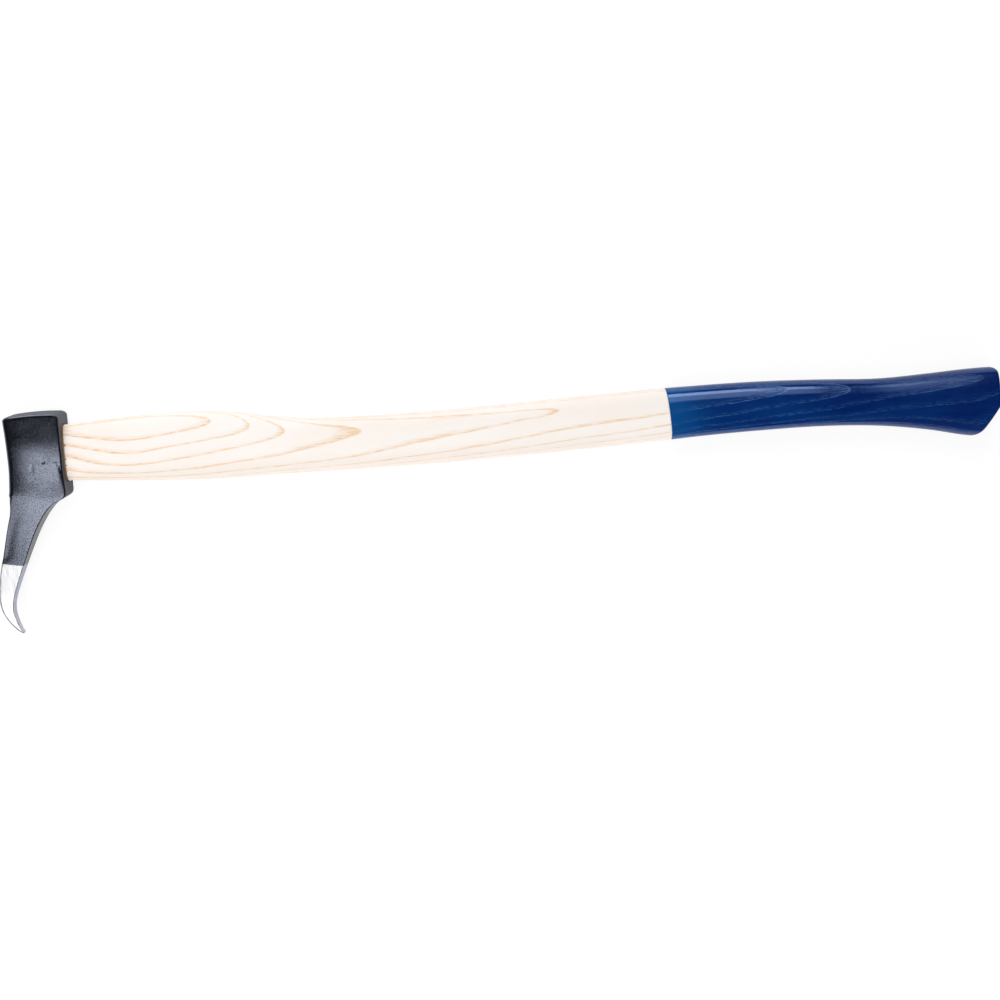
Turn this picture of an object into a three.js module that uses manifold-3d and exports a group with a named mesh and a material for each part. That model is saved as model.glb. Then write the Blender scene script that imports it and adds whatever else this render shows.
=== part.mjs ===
// A pickaroon, the short forester's log hook: a forged head with a curved pick,
// wedged on a long ash handle whose grip is dipped in lacquer.
//
// The tool lies flat on one cheek of its head. +X runs along the handle from the
// eye to the butt, -Y is the way the pick points, and +Z is up. The origin lies on
// the resting cheek, straight under the middle of the eye. Lengths are millimetres.

import * as THREE from 'three';
import { mergeVertices } from 'three/addons/utils/BufferGeometryUtils.js';
import Module from 'manifold-3d';

const wasm = await Module();
wasm.setup();

// Head: a block round the eye, an arm that swings back under it, and the hooked pick
const headThickness = 28;
const eyeBlockDepth = 39.5;
const crownHeight = 29.4;
const crownCornerRadius = 4;
const crownArch = 1;
const crownPeak = 3;
const footDrop = 28.3;
const pickReach = 128.3;
const armBow = 17.7;
const backDish = 1;
const cheekTaper = 1.9;
const armHollow = 0.35;
const edgeRadius = 1.1;
const backEdgeRadius = 3.6;
const tipEdgeRadius = 0.5;

// Eye, which flares towards the back of the head
const eyeHeight = 40.1;
const eyeThickness = 16.2;
const eyeFlareHeight = 1.6;
const eyeFlareThickness = 1.6;
const eyeLeadIn = 0.7;
const eyeSquareness = 2.9;
const fitGap = 0.3;

// Handle, from the tenon in the eye to the swell at the butt
const handleLength = 698;
const tenonRecess = 0.6;
const bellyHeight = 48.3;
const throatHeight = 37.3;
const gripHeight = 34.6;
const waistHeight = 32.5;
const swellHeight = 47.9;
const bellyThickness = 24.4;
const throatThickness = 24.8;
const gripThickness = 24;
const waistThickness = 23.4;
const swellThickness = 27.6;
const throatDip = 5.4;
const gripRise = 3.8;
const swellDrop = 2.4;
const handleSquareness = 2.35;

// Butt: an end face, and under its ridge a second face cut back towards the heel
const buttCornerRadius = 3.8;
const heelCornerRadius = 3;
const buttRimRadius = 1.3;
const buttRidgeDrop = 4.8;
const buttCutSlope = 0.66;
const buttLead = 60;

// Lacquer dipped over the grip
const dipLength = 231.5;
const dipTilt = 0.08;
const coatThickness = 0.45;

// Wedges that spread the tenon in the eye
const wedgeDepth = 25;
const wedgeThickness = 4.4;
const wedgeEdgeThickness = 1;
const ringRadius = 6;
const ringDepth = 9;
const ringWall = 1.7;
const ringTaper = 0.5;
const ringEdgeWall = 0.6;

// Cuts run past the surfaces that they open by this much
const overrun = 3;

// How finely the round shapes are divided
const ovalPoints = 36;
const ringPoints = 32;
const cornerSteps = 4;
const cheekSteps = 6;
const sideSteps = 2;
const railSteps = 2;
const neckRings = 30;
const gripRings = 12;
const buttRings = 7;
const rimSteps = 3;

const blackSteel = new THREE.MeshStandardMaterial({ color: '#2b2f39', roughness: 0.5, metalness: 0.55 });
const ashWood = new THREE.MeshStandardMaterial({ color: '#f3e3d2', roughness: 0.55, metalness: 0 });
const blueLacquer = new THREE.MeshStandardMaterial({ color: '#06286b', roughness: 0.22, metalness: 0 });
const beechWood = new THREE.MeshStandardMaterial({ color: '#d9b48a', roughness: 0.65, metalness: 0 });
const zincSteel = new THREE.MeshStandardMaterial({ color: '#a9abad', roughness: 0.4, metalness: 0.9 });

const { lerp, smoothstep, clamp } = THREE.MathUtils;
const quarterTurn = Math.PI / 2;
const innerFace = eyeBlockDepth / 2;
const backFace = -innerFace;
const tenonEnd = backFace + tenonRecess;
const buttEnd = backFace + handleLength;
const dipLine = buttEnd - dipLength;

// Rows of values that turn smoothly into each other from place to place
function smoothRows(places, rows) {
  return new THREE.CubicInterpolant(places, rows.flat(), rows[0].length);
}

// A closed solid through rings of points. Each ring mirrors about its first and its
// middle point, so a ladder of faces between its two sides closes each end.
function loft(rings) {
  const count = rings[0].length;
  const half = count / 2;
  const last = (rings.length - 1) * count;
  const index = [];
  for (let start = 0; start < last; start += count) {
    for (let i = 0; i < count; i += 1) {
      const a = start + i;
      const b = start + ((i + 1) % count);
      index.push(a, b, b + count, a, b + count, a + count);
    }
  }
  for (let i = 0; i < half; i += 1) {
    const rung = [];
    if (i > 0) rung.push([i, count - i, count - i - 1]);
    if (i < half - 1) rung.push([i, count - i - 1, i + 1]);
    rung.forEach(([a, b, c]) => index.push(a, b, c, last + c, last + b, last + a));
  }
  const geometry = new THREE.BufferGeometry();
  geometry.setAttribute('position', new THREE.Float32BufferAttribute(rings.flat(2), 3));
  geometry.setIndex(index);
  return geometry;
}

function toSolid(geometry) {
  const bare = geometry.clone();
  bare.deleteAttribute('normal');
  bare.deleteAttribute('uv');
  const merged = mergeVertices(bare);
  return new wasm.Manifold(new wasm.Mesh({
    numProp: 3,
    vertProperties: new Float32Array(merged.attributes.position.array),
    triVerts: new Uint32Array(merged.index.array),
  }));
}

function toGeometry(solid) {
  const mesh = solid.getMesh();
  const geometry = new THREE.BufferGeometry();
  geometry.setAttribute('position', new THREE.BufferAttribute(mesh.vertProperties, mesh.numProp));
  geometry.setIndex(new THREE.BufferAttribute(mesh.triVerts, 1));
  return geometry;
}

// An oval across the handle, starting at its highest point. Its sides are flatter the
// higher its squareness, and 2 makes an ellipse.
function oval(x, top, bottom, thickness, squareness) {
  const power = 2 / squareness;
  return Array.from({ length: ovalPoints }, (_, i) => {
    const up = Math.cos((i / ovalPoints) * 2 * Math.PI);
    const out = Math.sin((i / ovalPoints) * 2 * Math.PI);
    const rise = Math.sign(up) * Math.abs(up) ** power;
    const side = Math.sign(out) * Math.abs(out) ** power;
    return [x, lerp(bottom, top, (1 + rise) / 2), (side * thickness) / 2];
  });
}

// The block round the eye, from under its top corners to its foot, as shares of the way
// up or down from the eye. Its cheeks are flat above a slanting line, which starts just
// under the eye's middle at the back, and taper below it. The flat reaches far enough
// down on the inner side to carry the tool when it lies on that cheek.
const blockShares = [1, 0.5, 0.1, -0.1, -0.38, -0.65, -0.83];
const backTaperStartShare = 0.1;
const innerTaperStartShare = 0.65;
const innerTaperShare = 0.62;

function blockRows() {
  const shoulder = crownHeight - crownCornerRadius;
  const half = headThickness / 2;
  return blockShares.map((share) => {
    const y = share * (share > 0 ? shoulder : footDrop);
    const backTaper = cheekTaper * Math.max(0, (-share - backTaperStartShare) / (1 - backTaperStartShare));
    const innerWay = Math.max(0, (-share - innerTaperStartShare) / (1 - innerTaperStartShare));
    const innerTaper = cheekTaper * innerTaperShare * innerWay;
    return [backFace - backDish * share ** 2, y, innerFace, y, half - backTaper, half - innerTaper];
  });
}

// The arm and the pick, between a back rail and an inner rail. The shares of each row are
// the back rail's bow behind the block and its way from the block's foot to the pick's tip,
// the inner rail's way in from the inner face, over the block's depth, and its own way down,
// and the thickness at both rails over that of the head.
const armShares = [
  [0.058, -0.018, 0, -0.011, 0.872, 0.918],
  [0.062, 0.007, 0.011, 0.013, 0.858, 0.908],
  [0.065, 0.027, 0.065, 0.033, 0.84, 0.896],
  [0.074, 0.062, 0.181, 0.053, 0.81, 0.873],
  [0.098, 0.102, 0.285, 0.078, 0.773, 0.845],
  [0.161, 0.147, 0.399, 0.124, 0.727, 0.8],
  [0.258, 0.197, 0.503, 0.178, 0.664, 0.725],
  [0.4, 0.28, 0.639, 0.267, 0.586, 0.631],
  [0.567, 0.39, 0.788, 0.387, 0.507, 0.557],
  [0.741, 0.497, 0.932, 0.512, 0.436, 0.479],
  [0.885, 0.597, 1.053, 0.622, 0.386, 0.421],
  [0.983, 0.697, 1.158, 0.727, 0.336, 0.357],
  [0.995, 0.767, 1.199, 0.797, 0.307, 0.314],
  [0.95, 0.827, 1.199, 0.85, 0.286, 0.286],
  [0.805, 0.89, 1.173, 0.897, 0.264, 0.264],
  [0.602, 0.943, 1.138, 0.942, 0.243, 0.243],
  [0.42, 0.98, 1.103, 0.975, 0.229, 0.229],
  [0.206, 1.003, 1.07, 0.996, 0.221, 0.221],
];

function armRows() {
  return armShares.map(([bow, backDrop, inset, innerDrop, backHalf, innerHalf]) => [
    backFace - bow * armBow,
    -lerp(footDrop, pickReach, backDrop),
    innerFace - inset * eyeBlockDepth,
    -lerp(footDrop, pickReach, innerDrop),
    (backHalf * headThickness) / 2,
    (innerHalf * headThickness) / 2,
  ]);
}

// A shallow hollow runs down each cheek of the arm, nearer its back edge
const hollowPlaceShare = 0.3;
const hollowWidthShare = 0.16;
const hollowReachShares = [0.25, 0.42, 0.6, 0.64];

function hollowAt(along, down) {
  const [start, full, end, gone] = hollowReachShares;
  const reach = smoothstep(down, start, full) - smoothstep(down, end, gone);
  return armHollow * reach * Math.exp(-(((along - hollowPlaceShare) / hollowWidthShare) ** 2));
}

// A section of the head: from the middle of its inner side over the upper cheek to its
// back, then mirrored underneath. Its radii never take more than these shares of a side.
const backWidthShare = 0.33;
const backHalfShare = 0.8;
const innerWidthShare = 0.25;
const innerHalfShare = 0.5;

function sectionOutline(width, half, backHalf, down) {
  const backRadius = lerp(backEdgeRadius, tipEdgeRadius, down);
  const innerRadius = lerp(edgeRadius, tipEdgeRadius, down);
  const back = Math.min(backRadius, width * backWidthShare, backHalf * backHalfShare);
  const inner = Math.min(innerRadius, width * innerWidthShare, half * innerHalfShare);
  const outline = [];
  for (let i = 0; i < sideSteps; i += 1) {
    outline.push([width, ((half - inner) * i) / sideSteps]);
  }
  for (let i = 0; i <= cornerSteps; i += 1) {
    const turn = (i / cornerSteps) * quarterTurn;
    outline.push([width - inner + inner * Math.cos(turn), half - inner + inner * Math.sin(turn)]);
  }
  for (let i = 1; i < cheekSteps; i += 1) {
    outline.push([lerp(width - inner, back, i / cheekSteps), half]);
  }
  for (let i = 0; i <= cornerSteps; i += 1) {
    const turn = (i / cornerSteps) * quarterTurn;
    outline.push([back - back * Math.sin(turn), half - back + back * Math.cos(turn)]);
  }
  for (let i = sideSteps - 1; i >= 0; i -= 1) {
    outline.push([0, ((half - back) * i) / sideSteps]);
  }
  return outline;
}

function headSection(row, inset, thinning) {
  const [backX, backY, innerRail, innerY, backValue, innerValue] = row;
  const innerX = Math.min(innerRail, innerFace);
  const half = Math.min(innerValue, headThickness / 2) - thinning;
  const backHalf = Math.min(backValue, headThickness / 2) - thinning;
  const full = Math.hypot(innerX - backX, innerY - backY);
  const down = clamp(-innerY / pickReach, 0, 1);
  const upper = sectionOutline(full - 2 * inset, half, backHalf, down);
  const ring = upper.map(([u, v]) => {
    const along = (u + inset) / full;
    const level = v / half;
    const z = level * (lerp(backHalf, half, along) - hollowAt(along, down) * level);
    return [lerp(backX, innerX, along), lerp(backY, innerY, along), z];
  });
  return ring.concat(ring.slice(1, -1).reverse().map(([x, y, z]) => [x, y, -z]));
}

// The crown's rings close in over its corners, up to a slightly arched top
function crownRings(row) {
  return Array.from({ length: cornerSteps + 1 }, (_, i) => {
    const turn = (1 - i / (cornerSteps + 1)) * quarterTurn;
    const inward = 1 - Math.cos(turn);
    const ring = headSection(row, crownCornerRadius * inward, edgeRadius * inward ** 2);
    return ring.map(([x, y, z]) => {
      const lean = (x - crownPeak) / innerFace;
      return [x, y + (crownCornerRadius - crownArch * lean ** 2) * Math.sin(turn), z];
    });
  });
}

// The eye is straight from the inner face to its middle and flares from there to the
// back. A clearance all round gives the tenon that fits it.
function eyeOval(x, clearance, leadIn) {
  const flare = clamp(-x / innerFace, 0, 1);
  const half = (eyeHeight + eyeFlareHeight * flare) / 2 + leadIn - clearance;
  const thickness = eyeThickness + eyeFlareThickness * flare + 2 * (leadIn - clearance);
  return oval(x, half, -half, thickness, eyeSquareness);
}

function eyeSolid() {
  return toSolid(loft([
    eyeOval(backFace - backDish - overrun, 0, eyeLeadIn),
    eyeOval(backFace, 0, eyeLeadIn),
    eyeOval(backFace + eyeLeadIn, 0, 0),
    eyeOval(0, 0, 0),
    eyeOval(innerFace - eyeLeadIn, 0, 0),
    eyeOval(innerFace, 0, eyeLeadIn),
    eyeOval(innerFace + overrun, 0, eyeLeadIn),
  ]));
}

function pickHead() {
  const rows = [...blockRows(), ...armRows()];
  const rails = smoothRows(rows.map((row, i) => i), rows);
  const rings = crownRings(rows[0]);
  for (let i = 0; i <= (rows.length - 1) * railSteps; i += 1) {
    rings.push(headSection([...rails.evaluate(i / railSteps)], 0, 0));
  }
  return toGeometry(toSolid(loft(rings)).subtract(eyeSolid()));
}

// Stations down the handle. Each row names the two sizes that the height and the
// thickness lie between and the arch that the midline follows, with the share of each.
const tenonHeight = eyeHeight - 2 * fitGap;
const tenonThickness = eyeThickness - 2 * fitGap;
const neck = [tenonHeight, bellyHeight, tenonThickness, bellyThickness, throatDip];
const throat = [bellyHeight, throatHeight, bellyThickness, throatThickness, throatDip];
const shaft = [throatHeight, gripHeight, throatThickness, gripThickness, throatDip];
const rise = [throatHeight, gripHeight, throatThickness, gripThickness, gripRise];
const grip = [gripHeight, waistHeight, gripThickness, waistThickness, gripRise];
const swell = [waistHeight, swellHeight, waistThickness, swellThickness, swellDrop];
const stationShares = [
  [0.058, neck, 0, 0, 0],
  [0.114, neck, 0.6, 0.8, 0],
  [0.186, neck, 1, 1, -0.1],
  [0.229, throat, 0.14, 0.4, -0.26],
  [0.264, throat, 0.59, 0.7, -0.65],
  [0.3, throat, 0.88, 1, -0.89],
  [0.358, throat, 1, 1, -1],
  [0.458, shaft, 0, 0.1, -0.74],
  [0.603, shaft, 0, 0.5, 0],
  [0.704, rise, 0.57, 1, 0.79],
  [0.764, rise, 1, 1, 1],
  [0.824, grip, 0.76, 0.7, 0.9],
  [0.882, swell, 0.06, 0, 0.62],
  [0.933, swell, 0.49, 0.45, -0.1],
  [0.976, swell, 1, 1, -1],
  [1.05, swell, 1, 1, -1],
];
const stations = stationShares.map(([along]) => backFace + along * handleLength);
const handleForm = smoothRows(stations, stationShares.map(([, sizes, high, wide, mid]) => {
  const [height0, height1, thickness0, thickness1, arch] = sizes;
  return [lerp(height0, height1, high), lerp(thickness0, thickness1, wide), mid * arch];
}));

// The handle's oval at a place along it, with its surface taken back by an inset
function handleOval(x, inset) {
  const [height, thickness, middle] = handleForm.evaluate(x);
  const flat = smoothstep(x, innerFace, stations[1]);
  return {
    top: middle + height / 2 - inset,
    bottom: middle - height / 2 + inset,
    thickness: Math.min(thickness, swellThickness) - 2 * inset,
    squareness: lerp(eyeSquareness, handleSquareness, flat),
  };
}

function handleRing(x, inset) {
  const { top, bottom, thickness, squareness } = handleOval(x, inset);
  return oval(x, top, bottom, thickness, squareness);
}

// How far along the handle the butt ends at a height, with its round top corner and heel
function buttAt(y, top, bottom) {
  const corner = clamp(y - (top - buttCornerRadius), 0, buttCornerRadius);
  const heel = clamp(bottom + heelCornerRadius - y, 0, heelCornerRadius);
  const cornerCut = buttCornerRadius - Math.sqrt(buttCornerRadius ** 2 - corner ** 2);
  const heelCut = heelCornerRadius - Math.sqrt(heelCornerRadius ** 2 - heel ** 2);
  const faceCut = Math.max(0, -buttRidgeDrop - y) * buttCutSlope;
  return buttEnd - faceCut - cornerCut - heelCut;
}

// A ring a share of the way from the butt's lead-in to its faces, so that no ring crosses
// them. The turn rounds the rim. Each point's place and height settle in a few passes.
const settlingPasses = 4;

function buttRing(share, inset, turn) {
  const rim = buttRimRadius * (1 - Math.cos(turn));
  const short = inset + buttRimRadius * (1 - Math.sin(turn));
  const lead = buttEnd - buttLead;
  return handleRing(lead, inset).map((start, i) => {
    let point = start;
    for (let pass = 0; pass < settlingPasses; pass += 1) {
      const { top, bottom } = handleOval(point[0], inset);
      const [, y, z] = handleRing(point[0], inset + rim)[i];
      point = [lerp(lead, buttAt(y, top, bottom) - short, share), y, z];
    }
    return point;
  });
}

// Rings from a place on the grip to the butt, around its rim
function gripToButt(start, inset) {
  const rings = [];
  for (let i = 0; i <= gripRings; i += 1) {
    rings.push(handleRing(lerp(start, buttEnd - buttLead, i / gripRings), inset));
  }
  for (let i = 1; i <= buttRings; i += 1) {
    rings.push(buttRing(i / buttRings, inset, 0));
  }
  for (let i = 1; i <= rimSteps; i += 1) {
    rings.push(buttRing(1, inset, (i / rimSteps) * quarterTurn));
  }
  return rings;
}

// The line where the lacquer stops leans with the handle's rise
function leanRing(ring, shift) {
  return ring.map(([x, y, z]) => [x - dipTilt * y - shift, y, z]);
}

function tenonRings() {
  return [tenonEnd, 0, innerFace - eyeLeadIn].map((x) => eyeOval(x, fitGap, 0));
}

// Under the lacquer the wood is smaller by the coat and its gap
function handleBlank() {
  const rings = tenonRings();
  const step = dipLine - fitGap;
  for (let i = 0; i < neckRings; i += 1) {
    rings.push(handleRing(lerp(stations[0], step, i / neckRings), 0));
  }
  const [first, ...covered] = gripToButt(step, coatThickness + fitGap);
  rings.push(leanRing(handleRing(step, 0), 0), leanRing(first, 0), ...covered);
  return toSolid(loft(rings));
}

// The wooden wedge's side view, thick at the tenon's end, runs through the tenon's full
// height. A clearance turns it into the cut that takes it.
function wedgeBlade(clearance) {
  const half = wedgeThickness / 2;
  const slope = (half - wedgeEdgeThickness / 2) / wedgeDepth;
  const back = clearance > 0 ? overrun : 0;
  const deep = wedgeDepth + clearance;
  const side = new THREE.Shape([
    new THREE.Vector2(-back, -(half + clearance + slope * back)),
    new THREE.Vector2(deep, -(half + clearance - slope * deep)),
    new THREE.Vector2(deep, half + clearance - slope * deep),
    new THREE.Vector2(-back, half + clearance + slope * back),
  ]);
  const height = eyeHeight + 2 * eyeFlareHeight;
  const blade = new THREE.ExtrudeGeometry(side, { depth: height, bevelEnabled: false });
  blade.translate(tenonEnd, 0, -height / 2);
  blade.rotateX(-quarterTurn);
  return toSolid(blade);
}

// The ring wedge: a short tapered tube with a sharp front edge, driven in over the
// wooden wedge. A clearance turns it into the groove that takes it.
function ringSolid(clearance) {
  const back = clearance > 0 ? overrun : 0;
  const outer = ringRadius + clearance;
  const bore = ringRadius - ringWall - clearance;
  const frontOuter = outer - ringTaper;
  const frontBore = ringRadius - ringTaper - ringEdgeWall - clearance;
  const profile = [
    new THREE.Vector2(outer, -back),
    new THREE.Vector2(frontOuter, ringDepth + clearance),
    new THREE.Vector2(frontBore, ringDepth + clearance),
    new THREE.Vector2(bore, -back),
    new THREE.Vector2(outer, -back),
  ];
  const ring = new THREE.LatheGeometry(profile, ringPoints);
  ring.rotateZ(-quarterTurn);
  ring.translate(tenonEnd, 0, 0);
  return toSolid(ring);
}

function handle() {
  return toGeometry(handleBlank().subtract(wedgeBlade(fitGap)).subtract(ringSolid(fitGap)));
}

function woodenWedge() {
  const tenon = toSolid(loft(tenonRings()));
  return toGeometry(wedgeBlade(0).intersect(tenon).subtract(ringSolid(fitGap)));
}

function ringWedge() {
  return toGeometry(ringSolid(0));
}

// The dipped skin goes over the butt as well, and is open only where the wood enters it
function lacquerDip() {
  const [edge, ...outer] = gripToButt(dipLine, 0);
  const [mouth, ...inner] = gripToButt(dipLine, coatThickness);
  const skin = toSolid(loft([leanRing(edge, 0), ...outer]));
  const core = toSolid(loft([leanRing(mouth, overrun), ...inner]));
  return toGeometry(skin.subtract(core));
}

function piece(name, geometry, material) {
  const mesh = new THREE.Mesh(geometry, material);
  mesh.name = name;
  return mesh;
}

const pickaroon = new THREE.Group();
pickaroon.add(
  piece('pick_head', pickHead(), blackSteel),
  piece('handle', handle(), ashWood),
  piece('lacquer_dip', lacquerDip(), blueLacquer),
  piece('wooden_wedge', woodenWedge(), beechWood),
  piece('ring_wedge', ringWedge(), zincSteel),
);
pickaroon.position.z = headThickness / 2;

export default pickaroon;
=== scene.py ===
"""A pickaroon, the short forester's log hook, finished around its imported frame.

A forged head with a ground pick is wedged on an ash handle, and the grip of the
handle is dipped in blue lacquer. Lengths are metres, in the frame of the part: +X runs
from the eye to the butt, -Y is the way the pick points, and +Z is up.
"""

import math

import bmesh
import bpy
from bpy.props import FloatProperty, FloatVectorProperty, PointerProperty
from bpy.types import Operator, Panel, PropertyGroup
from mathutils import Matrix, Vector, noise


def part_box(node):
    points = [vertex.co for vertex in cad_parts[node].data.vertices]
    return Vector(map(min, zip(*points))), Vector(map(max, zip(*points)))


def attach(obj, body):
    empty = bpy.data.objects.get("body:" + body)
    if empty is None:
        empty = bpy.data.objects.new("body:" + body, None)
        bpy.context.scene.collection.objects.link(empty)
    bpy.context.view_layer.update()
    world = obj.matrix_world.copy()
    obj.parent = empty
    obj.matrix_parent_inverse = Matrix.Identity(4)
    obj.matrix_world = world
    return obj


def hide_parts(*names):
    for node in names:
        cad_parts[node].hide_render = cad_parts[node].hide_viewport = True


bl_info = {
    "name": "Pickaroon",
    "version": (1, 0, 0),
    "blender": (4, 5, 0),
    "location": "3D View > Sidebar > Pickaroon",
    "description": "Builds a forged pickaroon on an ash handle, with its finishes and a small studio",
    "category": "Add Mesh",
}

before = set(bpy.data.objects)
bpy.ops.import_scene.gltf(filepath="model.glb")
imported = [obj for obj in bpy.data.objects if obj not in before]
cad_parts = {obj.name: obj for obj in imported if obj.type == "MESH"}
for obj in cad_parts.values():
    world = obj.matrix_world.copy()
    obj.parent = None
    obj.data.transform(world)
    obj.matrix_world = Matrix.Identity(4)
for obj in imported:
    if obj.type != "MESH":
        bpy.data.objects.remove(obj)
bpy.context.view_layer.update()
HEAD_LOW, HEAD_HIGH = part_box("pick_head")
TENON_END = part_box("handle")[0].x
BUTT_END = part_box("lacquer_dip")[1].x
RING_LOW, RING_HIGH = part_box("ring_wedge")
MIDDLE = (HEAD_LOW.z + HEAD_HIGH.z) / 2
QUARTER_TURN = math.pi / 2

# How far apart the points of the fine meshes lie
HEAD_SPACING = 0.0007
HANDLE_SPACING = 0.0016
COAT_SPACING = 0.0011
WELD_DISTANCE = 0.00001


def number(name, description, default, **kind):
    return FloatProperty(name=name, description=description, default=default, **kind)


def length(name, description, default):
    return number(name, description, default, unit="LENGTH", precision=5)


def share(name, description, default):
    return number(name, description, default, min=0, max=1, subtype="FACTOR")


def colour(name, description, default):
    return FloatVectorProperty(
        name=name, description=description, default=default, size=3, min=0, max=1, subtype="COLOR"
    )


class HeadSettings(PropertyGroup):
    """Sizes and finish of the forged head."""

    thickness: length("Thickness", "Thickness of the block round the eye", HEAD_HIGH.z - HEAD_LOW.z)
    block_depth: length("Block depth", "Depth of the eye block along the handle", 0.0395)
    crown_height: length("Crown height", "From the middle of the eye to the crown", HEAD_HIGH.y)
    crown_corner: length("Crown corner", "Radius of the crown's corners", 0.004)
    crown_arch: length("Crown arch", "How far the crown's ends lie under its peak", 0.001)
    crown_peak: length("Crown peak", "How far along the handle the crown peaks", 0.003)
    foot_drop: length("Foot drop", "From the middle of the eye to the foot of the block", 0.0283)
    pick_reach: length("Pick reach", "From the middle of the eye to the tip of the pick", 0.1283)
    arm_bow: length("Arm bow", "How far the pick's back bows out behind the block", 0.0177)
    back_dish: length("Back dish", "How far the back leans out at the block's ends", 0.001)
    cheek_taper: length("Cheek taper", "How much each cheek is thinned at the foot", 0.0021)
    taper_start: length("Taper start", "How far over the eye's middle that taper starts", 0.004)
    taper_end: length("Taper end", "How far under the eye's middle it ends", 0.021)
    arm_hollow: length("Arm hollow", "Depth of the hollow down the arm", 0.00012)
    edge_radius: length("Edge radius", "Radius of the inner edges", 0.0014)
    back_edge_radius: length("Back edge radius", "Radius of the back edges", 0.0036)
    tip_edge_radius: length("Tip edge radius", "Radius of the edges at the tip", 0.0005)
    arm_back_radius: length("Arm back radius", "Radius of the arm's back edges", 0.0006)
    tip_back_radius: length("Tip back radius", "Radius of the back edges at the tip", 0.0022)
    back_roll: length("Back roll", "How far the cheek rolls off towards the back", 0.0018)
    back_roll_width: length("Back roll width", "How wide that roll is", 0.03)
    back_step: length("Back step", "Step in the back where the arm leaves the block", 0.0006)
    eye_height: length("Eye height", "Height of the eye", 0.0401)
    eye_thickness: length("Eye thickness", "Thickness of the eye", 0.0162)
    eye_flare: length("Eye flare", "How much wider the eye is at the back", 0.0016)
    eye_lead_in: length("Eye lead-in", "Chamfer round both mouths of the eye", 0.0007)
    forging_relief: length("Forging relief", "Depth of the uneven forged skin", 0.00005)
    grind_line: length("Grind line", "Where the bright ground pick begins at its back edge", -0.0766)
    coating: colour("Coating", "Blue-black coating", (0.0028, 0.0036, 0.006))
    worn_coating: colour("Worn coating", "Thin coating over scale", (0.0075, 0.009, 0.0135))
    ground_steel: colour("Ground steel", "Bright steel of the ground pick", (0.62, 0.62, 0.63))
    scratch: colour("Scratch", "Grinding marks in the bright steel", (0.47, 0.47, 0.49))


class HandleSettings(PropertyGroup):
    """Sizes and finish of the ash handle."""

    tenon_height: length("Tenon height", "Height of the tenon in the eye", 0.0395)
    tenon_thickness: length("Tenon thickness", "Thickness of the tenon in the eye", 0.0156)
    belly_height: length("Belly height", "Height of the belly behind the head", 0.0483)
    throat_height: length("Throat height", "Height of the throat", 0.0373)
    grip_height: length("Grip height", "Height of the grip", 0.0346)
    waist_height: length("Waist height", "Height of the waist before the swell", 0.0325)
    swell_height: length("Swell height", "Height of the swelled butt", 0.0479)
    belly_thickness: length("Belly thickness", "Thickness of the belly", 0.0244)
    throat_thickness: length("Throat thickness", "Thickness of the throat", 0.0248)
    grip_thickness: length("Grip thickness", "Thickness of the grip", 0.024)
    waist_thickness: length("Waist thickness", "Thickness of the waist", 0.0234)
    swell_thickness: length("Swell thickness", "Thickness of the swelled butt", 0.0276)
    throat_dip: length("Throat dip", "How far the throat curves down", 0.0054)
    grip_rise: length("Grip rise", "How far the grip curves up", 0.0038)
    swell_drop: length("Swell drop", "How far the swell turns down", 0.0024)
    corner_radius: length("Corner radius", "Radius of the butt's top corner", 0.0038)
    heel_radius: length("Heel radius", "Radius of the butt's heel", 0.0055)
    rim_radius: length("Rim radius", "Radius round the rim of the butt", 0.0013)
    ridge_drop: length("Ridge drop", "How far under the middle the heel cut begins", 0.0048)
    burr: length("Burr", "Height of the shaved burr where the wood enters the eye", 0.0007)
    ring_width: length("Ring width", "Width of one year's growth", 0.001963)
    pale_wood: colour("Pale wood", "Wood between the growth lines", (0.978, 0.926, 0.882))
    warm_wood: colour("Warm wood", "Warmer bands of the wood", (0.945, 0.835, 0.745))
    growth_line: colour("Growth line", "Porous early wood of each year", (0.86, 0.57, 0.31))
    # Bruised wood, deepened with painted shade in the gap where the handle leaves the eye
    bruised_and_shaded: colour("Bruised", "Wood that the eye's edge bruised", (0.3, 0.155, 0.07))
    pore: colour("Pore", "Open pores in the growth lines", (0.60, 0.34, 0.16))


class LacquerSettings(PropertyGroup):
    """Sizes and finish of the dipped grip."""

    dip_length: length("Dip length", "Length of the handle that was dipped", 0.2315)
    thickness: length("Coat thickness", "Thickness of the coat", 0.00045)
    bead: length("Bead", "How far the edge of the coat stands proud", 0.00012)
    thin_coat: colour("Thin coat", "Blue near the edge of the dip", (0.002, 0.067, 0.25))
    full_coat: colour("Full coat", "Blue of the full coat", (0.0008, 0.022, 0.14))
    deep_coat: colour("Deep coat", "Blue at the butt, where the coat ran thickest", (0.0005, 0.0125, 0.108))
    # Painted highlight: the paler blue along the grain's streaks stands in for the glints off their relief
    grain: colour("Grain", "Paler blue where the grain shows through", (0.02, 0.09, 0.26))


class WedgeSettings(PropertyGroup):
    """Finish of the wedges in the eye."""

    blade_depth: length("Blade depth", "How deep the wooden wedge is driven", 0.025)
    blade_thickness: length("Blade thickness", "Thickness of the wooden wedge at its head", 0.0044)
    blade_edge: length("Blade edge", "Thickness of the wooden wedge at its edge", 0.001)
    ring_radius: length("Ring radius", "Outer radius of the ring wedge", (RING_HIGH.z - RING_LOW.z) / 2)
    ring_wall: length("Ring wall", "Wall of the ring wedge at its head", 0.0017)
    ring_taper: length("Ring taper", "How much the ring wedge narrows to its edge", 0.0005)
    ring_edge: length("Ring edge", "Wall of the ring wedge at its edge", 0.0006)
    beech: colour("Beech", "Wood of the wedge", (0.52, 0.33, 0.17))
    zinc: colour("Zinc", "Plating of the ring wedge", (0.55, 0.56, 0.58))


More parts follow.
